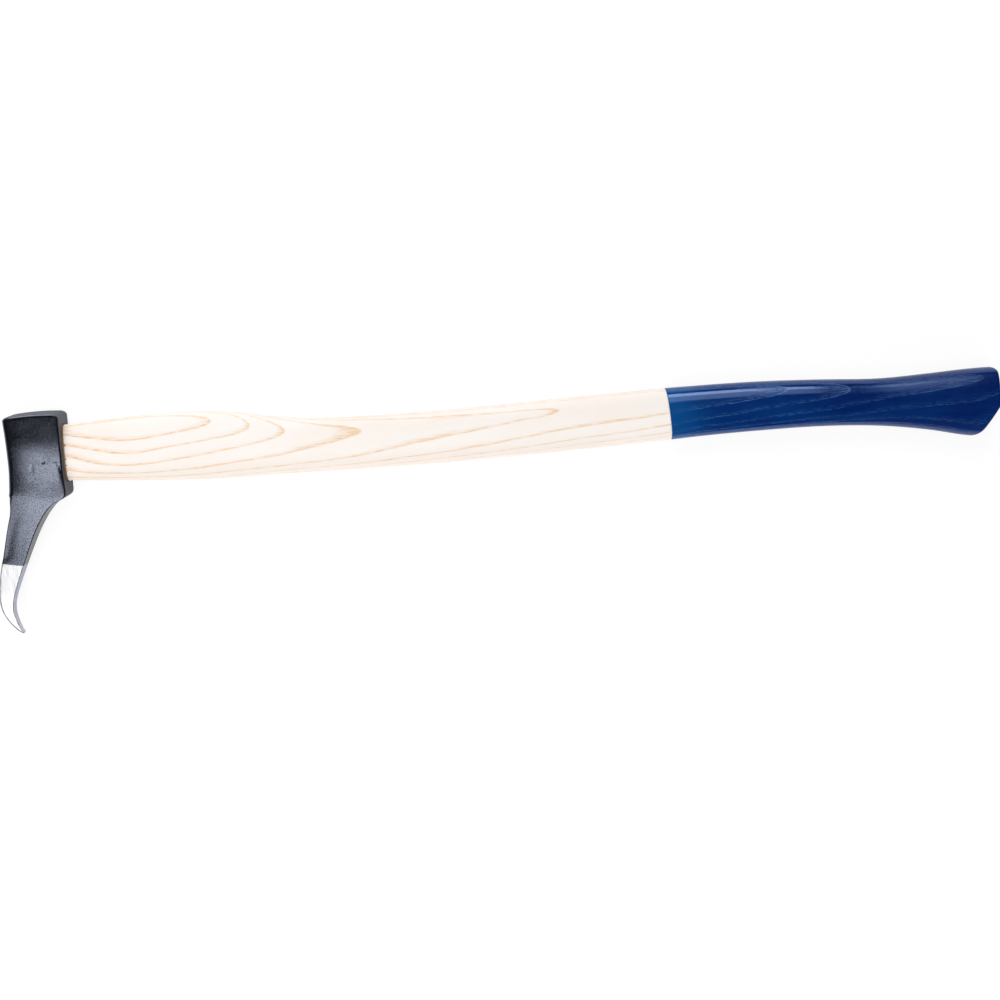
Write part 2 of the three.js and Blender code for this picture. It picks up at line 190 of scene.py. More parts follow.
class StudioSettings(PropertyGroup):
    """Camera, lamps and floor."""

    aim: FloatVectorProperty(
        name="Aim", description="Point that the camera looks at", default=(0.32467, -0.05244, MIDDLE),
        size=3, unit="LENGTH", subtype="TRANSLATION",
    )
    camera_reach: length("Camera reach", "From the camera to its aim", 1.2360)
    camera_tilt: number(
        "Camera tilt", "How far the camera leans from straight above", math.radians(8.84), unit="ROTATION"
    )
    camera_turn: number(
        "Camera turn", "How far the tool is turned in the picture", math.radians(3.412), unit="ROTATION"
    )
    lens: number("Lens", "Focal length", 62.5, unit="CAMERA")
    floor_size: length("Floor size", "Width of the floor", 12.0)
    wall_light: number("Wall light", "Light of the pale walls", 0.77)
    ceiling_light: number("Ceiling light", "Light of the dim ceiling", 0.015)
    side_light: number("Side light", "Lamp along the tool's back", 4.4)
    upper_side_light: number("Upper side light", "Softer lamp over it", 1.4)
    head_light: number("Head light", "Lamp that shines on the pick", 4.0)
    front_fill: number("Front fill", "Fill from the other side", 2.7)
    top_fill: number("Top fill", "Fill from overhead", 0.54)
    floor_grey: share("Floor grey", "How pale the floor's own colour is", 0.8)
    floor_glow: share("Floor glow", "White that the floor shows where it is seen", 0.84)


# The block round the eye, from under its top corners to its foot, as shares of the way
# up or down from the eye, and how much of the cheeks' taper their inner side has
BLOCK_SHARES = (1, 0.6, 0.26, 0.1, -0.1, -0.4, -0.74, -0.86)
INNER_TAPER_SHARE = 0.85

# The arm and the pick: the back rail's bow and its way down, the inner rail's way in and
# its way down, and the thickness at both rails, as shares of the head's sizes
ARM_SHARES = (
    (0.058, -0.018, 0, -0.011, 0.85, 0.872),
    (0.062, 0.007, 0.011, 0.013, 0.84, 0.864),
    (0.065, 0.027, 0.065, 0.033, 0.826, 0.856),
    (0.074, 0.062, 0.181, 0.053, 0.8, 0.841),
    (0.098, 0.102, 0.285, 0.078, 0.767, 0.822),
    (0.161, 0.147, 0.399, 0.124, 0.724, 0.79),
    (0.258, 0.197, 0.503, 0.178, 0.664, 0.725),
    (0.4, 0.28, 0.639, 0.267, 0.586, 0.631),
    (0.567, 0.39, 0.788, 0.387, 0.507, 0.557),
    (0.741, 0.497, 0.932, 0.512, 0.436, 0.479),
    (0.885, 0.597, 1.053, 0.622, 0.386, 0.421),
    (0.983, 0.697, 1.158, 0.727, 0.336, 0.357),
    (0.995, 0.767, 1.199, 0.797, 0.307, 0.314),
    (0.95, 0.827, 1.199, 0.85, 0.286, 0.286),
    (0.805, 0.89, 1.173, 0.897, 0.264, 0.264),
    (0.602, 0.943, 1.138, 0.942, 0.243, 0.243),
    (0.42, 0.98, 1.103, 0.975, 0.215, 0.222),
    (0.206, 1.003, 1.064, 1.0, 0.16, 0.18),
)

# A shallow hollow runs down each cheek of the arm, nearer its back edge: its place and
# width across the arm, and where down the pick it starts, is full, fades and is gone
HOLLOW_PLACE_SHARE = 0.17
HOLLOW_WIDTH_SHARE = 0.17
HOLLOW_REACH_SHARES = (0.2, 0.42, 0.56, 0.6)

# Where the head's forms change: spans down from the foot of the block
ROLL_FADE = (-0.018, 0)
ARM_EDGES = (-0.003, 0.005)
STEP_BACK = (-0.0012, 0.001)
# The step in the back grows from under the eye's middle to this far over the foot
STEP_START = 0.006
STEP_FULL = -0.002
# Spans down from the line where the pick is ground
ROLL_END = (-0.006, 0.002)
GROUND_SKIN = (-0.001, 0.002)
# How much of the cheek's roll is gone at the arm
ARM_ROLL_LOSS = 0.7

# The uneven forged skin: its level, its broad and close forms, and what grinding takes off
RELIEF_LEVEL = 1.3
BROAD_FORMS = 70
CLOSE_FORMS = 190
CLOSE_SHARE = 0.25
GROUND_LOSS = 0.8

# Dents that the hammer left in the upper cheek: middle, half width, half height, depth
DENTS = (
    (-0.0022, -0.0088, 0.0012, 0.0028, 0.00012),
    (0.0062, -0.0048, 0.0006, 0.0006, 0.0005),
    (0.0074, -0.0087, 0.0009, 0.0006, 0.00008),
    (0.0158, -0.0044, 0.0015, 0.0005, 0.00016),
    (0.0164, -0.0070, 0.0006, 0.0011, 0.00022),
    (0.0174, -0.0100, 0.0006, 0.0009, 0.00022),
    (0.0182, -0.0122, 0.0009, 0.0006, 0.0002),
    (0.0196, -0.0135, 0.0022, 0.0075, 0.0005),
)
# How many of its half sizes a dent reaches
DENT_REACH = 3

# The most that an edge's radius takes of the sides next to it
BACK_WIDTH_SHARE = 0.5
BACK_HALF_SHARE = 0.8
INNER_WIDTH_SHARE = 0.25
INNER_HALF_SHARE = 0.5

# Stations down the handle: the share of its length, the two heights and thicknesses that
# the station lies between with its share of each, and its share of the midline's arch
STATION_SHARES = (
    (0.058, "neck", 0, 0, 0),
    (0.114, "neck", 0.6, 0.8, 0),
    (0.186, "neck", 1, 1, -0.1),
    (0.229, "throat", 0.14, 0.4, -0.26),
    (0.264, "throat", 0.59, 0.7, -0.65),
    (0.3, "throat", 0.88, 1, -0.89),
    (0.358, "throat", 1, 1, -1),
    (0.458, "shaft", 0, 0.1, -0.74),
    (0.603, "shaft", 0, 0.5, 0),
    (0.704, "rise", 0.57, 1, 0.79),
    (0.764, "rise", 1, 1, 1),
    (0.824, "grip", 0.76, 0.7, 0.9),
    (0.882, "swell", 0.06, 0, 0.62),
    (0.933, "swell", 0.49, 0.45, -0.1),
    (0.976, "swell", 1, 1, -1),
    (1.05, "swell", 1, 1, -1),
)
# The two places that each stretch lies between, and the arch that its midline follows
STRETCHES = {
    "neck": ("tenon", "belly", "throat_dip"),
    "throat": ("belly", "throat", "throat_dip"),
    "shaft": ("throat", "grip", "throat_dip"),
    "rise": ("throat", "grip", "grip_rise"),
    "grip": ("grip", "waist", "grip_rise"),
    "swell": ("waist", "swell", "swell_drop"),
}
EYE_SQUARENESS = 2.9
HANDLE_SQUARENESS = 2.35
BUTT_CUT_SLOPE = 0.66

# The pith of the tree, under the handle: how it rises and leans along it, its place under
# the eye, and how far from it the first year's line that the handle cuts lies
PITH_RISE = (0.04017, -0.01228, -0.09016, 0.12638)
PITH_LEAN = 0.18656
PITH_DEPTH = 0.05416
PITH_SIDE = 0.01504
BARK_RADIUS = 0.0684
# The year whose loop closes on the bare wood, in a line that gets thin
LAST_LOOP = 5

# How the edge of the dip leans and hangs, and how far from it the sections lean with it
DIP_TILT = 0.08
DIP_HANG = 0.0009
DIP_REACH = 0.05


def clamp(value, low, high):
    return max(low, min(high, value))


def lerp(start, end, way):
    return start + (end - start) * way


def eased(value, start, end):
    way = clamp((value - start) / (end - start), 0, 1)
    return way * way * (3 - 2 * way)


def eased_near(value, mark, span):
    """Eased over a span that is measured from a mark."""
    return eased(value, mark + span[0], mark + span[1])


def smooth_row(places, rows, at):
    """The row of values at a place, on a cubic curve through the rows."""
    last = len(places) - 1
    i = 1
    while i < last and places[i] < at:
        i += 1
    start, end = places[i - 1], places[i]
    before = (places[i - 2], rows[i - 2]) if i > 1 else (end, rows[i])
    after = (places[i + 1], rows[i + 1]) if i < last else (start, rows[i - 1])
    half = (end - start) / 2
    w0 = half / (start - before[0])
    w1 = half / (after[0] - end)
    p = (at - start) / (end - start)
    s0 = -w0 * p**3 + 2 * w0 * p**2 - w0 * p
    s1 = (1 + w0) * p**3 + (-1.5 - 2 * w0) * p**2 + (-0.5 + w0) * p + 1
    s2 = (-1 - w1) * p**3 + (1.5 + w1) * p**2 + 0.5 * p
    s3 = w1 * p**3 - w1 * p**2
    four = zip(before[1], rows[i - 1], rows[i], after[1])
    return [s0 * a + s1 * b + s2 * c + s3 * d for a, b, c, d in four]


def faired_row(places, rows, at, reach):
    """A row of values with its curve faired over a reach, so that reflections flow."""
    low, mid, high = (smooth_row(places, rows, at + step * reach) for step in (-1, 0, 1))
    return [(a + 2 * b + c) / 4 for a, b, c in zip(low, mid, high)]


def skin(name, sections):
    """A closed skin through sections of equally many points. A flat grid is laid out with
    a row for each section, rolled onto them, and welded at its seam and closed ends."""
    mesh = bmesh.new()
    rows, columns = len(sections), len(sections[0])
    bmesh.ops.create_grid(mesh, x_segments=rows - 1, y_segments=columns, size=0.5)
    for vertex in mesh.verts:
        row = round((vertex.co.x + 0.5) * (rows - 1))
        column = round((vertex.co.y + 0.5) * columns) % columns
        vertex.co = sections[row][column]
    bmesh.ops.remove_doubles(mesh, verts=mesh.verts, dist=WELD_DISTANCE)
    bmesh.ops.dissolve_degenerate(mesh, edges=mesh.edges, dist=WELD_DISTANCE)
    bmesh.ops.recalc_face_normals(mesh, faces=mesh.faces)
    return to_object(name, mesh)


def to_object(name, mesh):
    data = bpy.data.meshes.new(name)
    mesh.to_mesh(data)
    mesh.free()
    obj = bpy.data.objects.new(name, data)
    bpy.context.scene.collection.objects.link(obj)
    return obj


def closing_sections(section, steps):
    """Sections that close an end: each draws nearer to the middle of the thickness."""
    rings = []
    for i in range(1, steps + 1):
        way = 1 - i / steps
        rings.append([Vector((p.x, p.y, MIDDLE + (p.z - MIDDLE) * way)) for p in section])
    return rings


def cut_away(obj, tool):
    """Cuts a tool's shape out of a piece for good."""
    modifier = obj.modifiers.new("cut", "BOOLEAN")
    modifier.operation = "DIFFERENCE"
    modifier.solver = "EXACT"
    modifier.object = tool
    graph = bpy.context.evaluated_depsgraph_get()
    cut = bpy.data.meshes.new_from_object(obj.evaluated_get(graph))
    obj.modifiers.clear()
    obj.data = cut
    bpy.data.objects.remove(tool)
    if not cut.polygons:
        raise RuntimeError(f"nothing of {obj.name} is left after the cut")


def finish_piece(obj, node, material, angle=math.radians(38)):
    """Shades a finished piece smooth but for its sharp edges, and puts it on the frame."""
    obj.data.materials.clear()
    obj.data.materials.append(material)
    obj.data.shade_smooth()
    obj.data.set_sharp_from_angle(angle=angle)
    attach(obj, "root")
    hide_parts(node)


def oval_point(x, top, bottom, thickness, squareness, way):
    """A point part of the way round an oval across the handle, from its top. The oval's
    sides are flatter the higher its squareness."""
    power = 2 / squareness
    up = math.cos(way * 2 * math.pi)
    out = math.sin(way * 2 * math.pi)
    rise = math.copysign(abs(up) ** power, up)
    side = math.copysign(abs(out) ** power, out)
    return Vector((x, lerp(bottom, top, (1 + rise) / 2), MIDDLE + side * thickness / 2))


def oval(x, top, bottom, thickness, squareness, points):
    return [oval_point(x, top, bottom, thickness, squareness, i / points) for i in range(points)]


# The forged head

CHEEK_STEPS = 46
BACK_EDGE_STEPS = 8
INNER_EDGE_STEPS = 4
BACK_SIDE_STEPS = 12
INNER_SIDE_STEPS = 14
CROWN_STEPS = 12
CAP_DRAW = 0.7
CROWN_CAP_STEPS = 16
TIP_CAP_STEPS = 4
EYE_POINTS = 96
EYE_CAP_STEPS = 2
CUT_OVERRUN = 0.003
HEAD_SHARPNESS = math.radians(28)
ROW_FAIRING = 0.3
TAPER_SOFTENING = 8
FINE_STEPS = 24


def block_rows(head):
    """Rows of the block: where its back and inner rails lie, and its thickness at them."""
    shoulder = head.crown_height - head.crown_corner
    half = head.thickness / 2
    inner = head.block_depth / 2
    rows = []
    for part in BLOCK_SHARES:
        y = part * (shoulder if part > 0 else head.foot_drop)
        way = clamp((head.taper_start - y) / (head.taper_start + head.taper_end), 0, 1)
        back_half = half - head.cheek_taper * way
        inner_half = half - head.cheek_taper * INNER_TAPER_SHARE * way
        rows.append((-inner - head.back_dish * part**2, y, inner, y, back_half, inner_half))
    return rows


def arm_rows(head):
    """The same rows for the arm and the pick."""
    inner = head.block_depth / 2
    rows = []
    for bow, back_drop, inset, inner_drop, back_half, inner_half in ARM_SHARES:
        rows.append((
            -inner - bow * head.arm_bow,
            -lerp(head.foot_drop, head.pick_reach, back_drop),
            inner - inset * head.block_depth,
            -lerp(head.foot_drop, head.pick_reach, inner_drop),
            back_half * head.thickness / 2,
            inner_half * head.thickness / 2,
        ))
    return rows


def hollow_at(head, along, down):
    start, full, end, gone = HOLLOW_REACH_SHARES
    reach = eased(down, start, full) - eased(down, end, gone)
    aside = (along - HOLLOW_PLACE_SHARE) / HOLLOW_WIDTH_SHARE
    return head.arm_hollow * reach * math.exp(-(aside**2))


def roll_at(head, from_back, y):
    """How far the block's cheek has rolled off, near its back."""
    fade = 1 - ARM_ROLL_LOSS * eased_near(-y, head.foot_drop, ROLL_FADE)
    fade *= 1 - eased_near(-y, -head.grind_line, ROLL_END)
    return head.back_roll * max(0, 1 - from_back / head.back_roll_width) ** 3 * fade


def section_outline(head, width, half, back_half, down):
    """The upper half of a section: from the middle of its inner side, over the cheek, to
    the middle of its back. Its points are distances from the back and up."""
    at_arm = eased_near(down * head.pick_reach, head.foot_drop, ARM_EDGES)
    back_radius = lerp(head.back_edge_radius, head.arm_back_radius, at_arm)
    back_radius = lerp(back_radius, head.tip_back_radius, down**4)
    inner_radius = lerp(head.edge_radius, head.tip_edge_radius, down)
    back = min(back_radius, width * BACK_WIDTH_SHARE, back_half * BACK_HALF_SHARE)
    inner = min(inner_radius, width * INNER_WIDTH_SHARE, half * INNER_HALF_SHARE)
    outline = []
    for i in range(INNER_SIDE_STEPS):
        outline.append((width, (half - inner) * i / INNER_SIDE_STEPS))
    for i in range(INNER_EDGE_STEPS + 1):
        turn = i / INNER_EDGE_STEPS * QUARTER_TURN
        outline.append((width - inner + inner * math.cos(turn), half - inner + inner * math.sin(turn)))
    for i in range(1, CHEEK_STEPS):
        outline.append((lerp(width - inner, back, i / CHEEK_STEPS), half))
    for i in range(BACK_EDGE_STEPS + 1):
        turn = i / BACK_EDGE_STEPS * QUARTER_TURN
        outline.append((back - back * math.sin(turn), half - back + back * math.cos(turn)))
    for i in range(BACK_SIDE_STEPS - 1, -1, -1):
        outline.append((0, (half - back) * i / BACK_SIDE_STEPS))
    return outline


def head_section(head, row, inset=0, thinning=0):
    """A section across the head on a row of its rails, drawn in at its sides and cheeks."""
    back_x, back_y, inner_rail, inner_y, back_value, inner_value = row
    inner_x = min(inner_rail, head.block_depth / 2)
    back_x -= head.back_step * eased(-back_y, STEP_START, head.foot_drop + STEP_FULL)
    back_x += head.back_step * eased_near(-back_y, head.foot_drop, STEP_BACK)
    half = min(inner_value, head.thickness / 2) - thinning
    back_half = min(back_value, head.thickness / 2) - thinning
    full = math.hypot(inner_x - back_x, inner_y - back_y)
    down = clamp(-inner_y / head.pick_reach, 0, 1)
    upper = []
    for u, v in section_outline(head, full - 2 * inset, half, back_half, down):
        along = (u + inset) / full
        level = v / half
        y = lerp(back_y, inner_y, along)
        sunk = hollow_at(head, along, down) + roll_at(head, u, y)
        z = level * (lerp(back_half, half, along) - sunk * level)
        upper.append(Vector((lerp(back_x, inner_x, along), y, MIDDLE + z)))
    lower = [Vector((p.x, p.y, 2 * MIDDLE - p.z)) for p in reversed(upper[1:-1])]
    return upper + lower


def crown_sections(head, row):
    """Sections that close in over the crown's corners, up to its slightly arched top."""
    sections = []
    for i in range(CROWN_STEPS + 1):
        turn = (1 - i / (CROWN_STEPS + 1)) * QUARTER_TURN
        inward = 1 - math.cos(turn)
        section = head_section(head, row, head.crown_corner * inward, head.edge_radius * inward**2)
        for point in section:
            lean = (point.x - head.crown_peak) / (head.block_depth / 2)
            point.y += (head.crown_corner - head.crown_arch * lean**2) * math.sin(turn)
        sections.append(section)
    return sections


def end_cap(section, steps):
    """Sections that close an end of the head: each draws nearer to a line along its middle."""
    places = sorted((point.x, point.y) for point in section)
    middle = (places[0][0] + places[-1][0]) / 2
    rings = []
    for i in range(1, steps + 1):
        way = i / steps
        ring = []
        for point in section:
            x = lerp(point.x, middle, way * CAP_DRAW)
            before, after = next(pair for pair in zip(places, places[1:]) if pair[0][0] <= x < pair[1][0])
            y = lerp(before[1], after[1], (x - before[0]) / (after[0] - before[0]))
            ring.append(Vector((x, y, lerp(point.z, MIDDLE, way))))
        rings.append(ring)
    return rings


def even_rows(rows, spacing):
    """Rows at even distances down the head, measured along the middle of its rails."""
    places = range(len(rows))
    count = (len(rows) - 1) * FINE_STEPS
    fine = [faired_row(places, rows, i / FINE_STEPS, ROW_FAIRING) for i in range(count + 1)]
    fine[0] = list(rows[0])
    chosen = [fine[0]]
    gone = 0
    for before, after in zip(fine, fine[1:]):
        mid = [(row[0] + row[2]) / 2 for row in (before, after)]
        drop = [(row[1] + row[3]) / 2 for row in (before, after)]
        gone += math.hypot(mid[1] - mid[0], drop[1] - drop[0])
        if gone > spacing:
            chosen.append(after)
            gone = 0
    chosen[-1] = fine[-1]
    return softened(chosen)


def softened(rows):
    """The same rows, with the thickness at both rails run smoothly from one to the next."""
    soft = []
    last = len(rows) - 1
    for i, row in enumerate(rows):
        reach = min(i, last - i, TAPER_SOFTENING)
        near = rows[i - reach:i + reach + 1]
        thick = [sum(r[column] for r in near) / len(near) for column in (4, 5)]
        soft.append((*row[:4], *thick))
    return soft


def rough_forging(obj, head):
    """Sinks the forged skin a little and unevenly, and leaves the ground pick smooth."""
    data = obj.data
    normals = [v.normal.copy() for v in data.vertices]
    for vertex, normal in zip(data.vertices, normals):
        forms = noise.noise(vertex.co * BROAD_FORMS) + CLOSE_SHARE * noise.noise(vertex.co * CLOSE_FORMS)
        ground = eased_near(-vertex.co.y, -head.grind_line, GROUND_SKIN)
        depth = head.forging_relief * (RELIEF_LEVEL + forms) * (1 - GROUND_LOSS * ground)
        for x, y, wide, high, deep in DENTS:
            far = ((vertex.co.x - x) / wide) ** 2 + ((vertex.co.y - y) / high) ** 2
            if far < DENT_REACH**2 and vertex.co.z > MIDDLE:
                depth += deep * math.exp(-far)
        vertex.co -= normal * depth


def eye_sections(head):
    """Sections of the eye, which is straight inside and flares towards the back."""
    inner = head.block_depth / 2
    places = (
        (-inner - head.back_dish - CUT_OVERRUN, head.eye_lead_in),
        (-inner - head.back_step / 2, head.eye_lead_in),
        (-inner + head.eye_lead_in, 0),
        (0, 0),
        (inner - head.eye_lead_in, 0),
        (inner, head.eye_lead_in),
        (inner + CUT_OVERRUN, head.eye_lead_in),
    )
    sections = []
    for x, lead_in in places:
        flare = head.eye_flare * clamp(-x / inner, 0, 1)
        half = (head.eye_height + flare) / 2 + lead_in
        thick = head.eye_thickness + flare + 2 * lead_in
        sections.append(oval(x, half, -half, thick, EYE_SQUARENESS, EYE_POINTS))
    first = list(reversed(closing_sections(sections[0], EYE_CAP_STEPS)))
    return first + sections + closing_sections(sections[-1], EYE_CAP_STEPS)


def make_head(head):
    rows = block_rows(head) + arm_rows(head)
    crown = crown_sections(head, rows[0])
    body = [head_section(head, row) for row in even_rows(rows, HEAD_SPACING)]
    sections = list(reversed(end_cap(crown[0], CROWN_CAP_STEPS))) + crown + body
    obj = skin("forged_head", sections + end_cap(body[-1], TIP_CAP_STEPS))
    rough_forging(obj, head)
    cut_away(obj, skin("eye_tool", eye_sections(head)))
    return obj


# The handle and its lacquer


def handle_stations(handle, start, reach):
    """Stations down the handle, each with its height, thickness and rise of the midline."""
    places, rows = [], []
    for along, stretch, high, wide, mid in STATION_SHARES:
        near, far, arch = STRETCHES[stretch]
        height = lerp(getattr(handle, near + "_height"), getattr(handle, far + "_height"), high)
        thick = lerp(getattr(handle, near + "_thickness"), getattr(handle, far + "_thickness"), wide)
        places.append(start + along * reach)
        rows.append((height, thick, mid * getattr(handle, arch)))
    return places, rows


class HandleForm:
    """The handle's shape along its length, from the end of its tenon to its butt."""

    def __init__(self, scene):
        self.handle = scene.pickaroon_handle
        self.lacquer = scene.pickaroon_lacquer
        self.head = scene.pickaroon_head
        self.back = -self.head.block_depth / 2
        self.dip_line = BUTT_END - self.lacquer.dip_length
        self.places, self.rows = handle_stations(self.handle, self.back, BUTT_END - self.back)
        self.neck_start, self.neck_full = self.places[0], self.places[1]

    def oval_at(self, x, inset):
        """Top, bottom, thickness and squareness of the oval at a place along the handle."""
        reach = HANDLE_FAIRING * eased(x, self.neck_start, self.neck_full)
        height, thick, middle = faired_row(self.places, self.rows, x, reach)
        flat = eased(x, -self.back, self.neck_full)
        return (
            middle + height / 2 - inset,
            middle - height / 2 + inset,
            min(thick, self.handle.swell_thickness) - 2 * inset,
            lerp(EYE_SQUARENESS, HANDLE_SQUARENESS, flat),
        )

    def ring(self, x, inset, points):
        return oval(x, *self.oval_at(x, inset), points)

    def butt_at(self, y, top, bottom):
        """How far along the handle its butt ends at a height."""
        corner_radius, heel_radius = self.handle.corner_radius, self.handle.heel_radius
        corner = clamp(y - (top - corner_radius), 0, corner_radius)
        heel = clamp(bottom + heel_radius - y, 0, heel_radius)
        corner_cut = corner_radius - math.sqrt(corner_radius**2 - corner**2)
        heel_cut = heel_radius - math.sqrt(heel_radius**2 - heel**2)
        face_cut = max(0, -self.handle.ridge_drop - y) * BUTT_CUT_SLOPE
        return BUTT_END - face_cut - corner_cut - heel_cut

    def butt_ring(self, way, lead, inset, turn, points):
        """A ring part of the way from the lead-in to the butt's faces and round its rim."""
        rim = self.handle.rim_radius * (1 - math.cos(turn))
        short = inset + self.handle.rim_radius * (1 - math.sin(turn))
        ring = []
        for i, start in enumerate(self.ring(lead, inset, points)):
            point = start
            for _ in range(BUTT_ROUNDS):
                top, bottom, _, _ = self.oval_at(point.x, inset)
                around = oval_point(point.x, *self.oval_at(point.x, inset + rim), i / points)
                end = self.butt_at(around.y, top, bottom) - short
                point = Vector((lerp(lead, end, way), around.y, around.z))
            ring.append(point)
        return ring

    def butt_sections(self, start, spacing, inset, points, rim_steps, cap_steps):
        """Sections from a place on the grip to the butt, round its rim and over its end."""
        lead = BUTT_END - BUTT_REACH
        sections = []
        count = max(1, round((lead - start) / spacing))
        for i in range(count + 1):
            sections.append(self.ring(lerp(start, lead, i / count), inset, points))
        count = max(2, round((BUTT_END - lead) / spacing))
        for i in range(1, count + 1):
            sections.append(self.butt_ring(i / count, lead, inset, 0, points))
        for i in range(1, rim_steps + 1):
            sections.append(self.butt_ring(1, lead, inset, i / rim_steps * QUARTER_TURN, points))
        return sections + closing_sections(sections[-1], cap_steps)

    def lean(self, section, x):
        """Leans a section with the edge of the dip, which hangs on the cheeks, and less the
        further from that edge its place along the handle is."""
        weight = eased(x, self.dip_line - DIP_REACH, self.dip_line)
        weight -= eased(x, self.dip_line, self.dip_line + DIP_REACH)
        half = self.handle.grip_thickness / 2
        leaned = []
        for p in section:
            hang = DIP_HANG * abs(p.z - MIDDLE) / half - DIP_TILT * p.y
            leaned.append(Vector((p.x + hang * weight, p.y, p.z)))
        return leaned


HANDLE_POINTS = 84
HANDLE_FAIRING = 0.008
TENON_STEPS = 12
TENON_CAP_STEPS = 8
NECK_SPACING = 0.0003
NECK_REACH = 0.004
# The butt's faces shape the last of the handle, and a few rounds find where a ring meets them
BUTT_REACH = 0.06
BUTT_ROUNDS = 4
# The grip under the coat and the coat's inside are never seen, so they have fewer points
UNDER_SPACING = 0.005
INSIDE_SPACING = 0.006
HIDDEN_RIM_STEPS = 3
HIDDEN_CAP_STEPS = 6
HIDDEN_LEANED = 12
COAT_POINTS = 104
COAT_RIM_STEPS = 6
COAT_CAP_STEPS = 18
COAT_LEANED = 60
LIP_STEPS = 6
BEAD_REACH = 0.02
FIT_GAP = 0.0003
RING_STEPS = 72
GROOVE_STEPS = 64
RING_BEVEL = 0.00022
RING_BEVEL_ANGLE = math.radians(40)

# The shaved burr: how far it reaches, how high it is at the top of the handle, between
# which heights it grows, and how ragged it is
BURR_REACH = 0.0022
BURR_TOP_SHARE = 0.25
BURR_GROWTH = (0.002, 0.018)
BURR_LEVEL = 0.6
BURR_RAGGED = 0.4
BURR_SCALE = 900


def burr_at(form, point):
    """Height of the shaved burr where the wood enters the eye, highest at its lower edge."""
    along = (point.x + form.back) / BURR_REACH
    if not 0 < along < 1:
        return 0
    grown = lerp(BURR_TOP_SHARE, 1, eased(-point.y, *BURR_GROWTH))
    ragged = BURR_LEVEL + BURR_RAGGED * noise.noise(point * BURR_SCALE)
    return form.handle.burr * math.sin(along * math.pi) * grown * ragged


def make_handle(form):
    points = HANDLE_POINTS
    head = form.head
    inner = -form.back
    tenon = []
    for i in range(TENON_STEPS + 1):
        x = lerp(TENON_END, inner - head.eye_lead_in, i / TENON_STEPS)
        flare = head.eye_flare * clamp(-x / inner, 0, 1)
        half = (form.handle.tenon_height + flare) / 2
        tenon.append(oval(x, half, -half, form.handle.tenon_thickness + flare, EYE_SQUARENESS, points))
    first = list(reversed(closing_sections(tenon[0], TENON_CAP_STEPS)))
    neck = []
    x = inner
    while x < form.neck_start + NECK_REACH:
        ring = [Vector((x, p.y, p.z)) for p in form.ring(max(x, form.neck_start), 0, points)]
        middle = Vector((x, 0, MIDDLE))
        neck.append([p + (p - middle).normalized() * burr_at(form, p) for p in ring])
        x += NECK_SPACING
    shaft = []
    end = form.dip_line - FIT_GAP
    count = round((form.dip_line - x) / HANDLE_SPACING)
    for i in range(count + 1):
        at = lerp(x, end, i / count)
        shaft.append(form.lean(form.ring(at, 0, points), at))
    under = form.lacquer.thickness + FIT_GAP
    hidden = form.butt_sections(end, UNDER_SPACING, under, points, HIDDEN_RIM_STEPS, HIDDEN_CAP_STEPS)
    hidden[:HIDDEN_LEANED] = [form.lean(section, section[0].x) for section in hidden[:HIDDEN_LEANED]]
    obj = skin("ash_handle", first + tenon + neck + shaft + hidden)
    cut_away(obj, kerf_tool(form))
    groove = spun_ring(ring_profile(FIT_GAP, CUT_OVERRUN), TENON_END, GROOVE_STEPS)
    cut_away(obj, to_object("groove_tool", groove))
    return obj


def kerf_tool(form):
    """The tapered saw cut that takes the wooden wedge."""
    wedge = bpy.context.scene.pickaroon_wedges
    half = wedge.blade_thickness / 2
    slope = (half - wedge.blade_edge / 2) / wedge.blade_depth
    deep = wedge.blade_depth + FIT_GAP
    reach = form.head.eye_height
    mesh = bmesh.new()
    bmesh.ops.create_cube(mesh, size=1)
    for vertex in mesh.verts:
        along = -CUT_OVERRUN if vertex.co.x < 0 else deep
        wide = half + FIT_GAP - slope * along
        side = math.copysign(wide, vertex.co.z)
        vertex.co = (TENON_END + along, math.copysign(reach, vertex.co.y), MIDDLE + side)
    bmesh.ops.recalc_face_normals(mesh, faces=mesh.faces)
    return to_object("kerf_tool", mesh)


def ring_profile(clearance, back):
    """The ring wedge's section, as its distance along and from its own axis."""
    wedge = bpy.context.scene.pickaroon_wedges
    depth = RING_HIGH.x - RING_LOW.x
    outer = wedge.ring_radius + clearance
    bore = wedge.ring_radius - wedge.ring_wall - clearance
    front_bore = wedge.ring_radius - wedge.ring_taper - wedge.ring_edge - clearance
    return (
        (-back, outer),
        (depth + clearance, outer - wedge.ring_taper),
        (depth + clearance, front_bore),
        (-back, bore),
    )


def spun_ring(profile, start, steps):
    """A ring turned from a profile round an axis along the handle."""
    mesh = bmesh.new()
    corners = [mesh.verts.new((start + along, 0, MIDDLE + out)) for along, out in profile]
    edges = [mesh.edges.new((a, b)) for a, b in zip(corners, corners[1:] + corners[:1])]
    bmesh.ops.spin(
        mesh, geom=corners + edges, cent=(start, 0, MIDDLE), axis=(1, 0, 0),
        angle=2 * math.pi, steps=steps, use_merge=True, use_duplicate=False,
    )
    bmesh.ops.remove_doubles(mesh, verts=mesh.verts, dist=WELD_DISTANCE)
    bmesh.ops.recalc_face_normals(mesh, faces=mesh.faces)
    return mesh


def make_ring():
    mesh = spun_ring(ring_profile(0, 0), RING_LOW.x, RING_STEPS)
    rims = [e for e in mesh.edges if len(e.link_faces) == 2 and e.calc_face_angle() > RING_BEVEL_ANGLE]
    bmesh.ops.bevel(
        mesh, geom=rims, offset=RING_BEVEL, segments=2, profile=0.5, affect="EDGES", material=-1,
        offset_type="OFFSET", clamp_overlap=True,
    )
    return to_object("steel_ring_wedge", mesh)


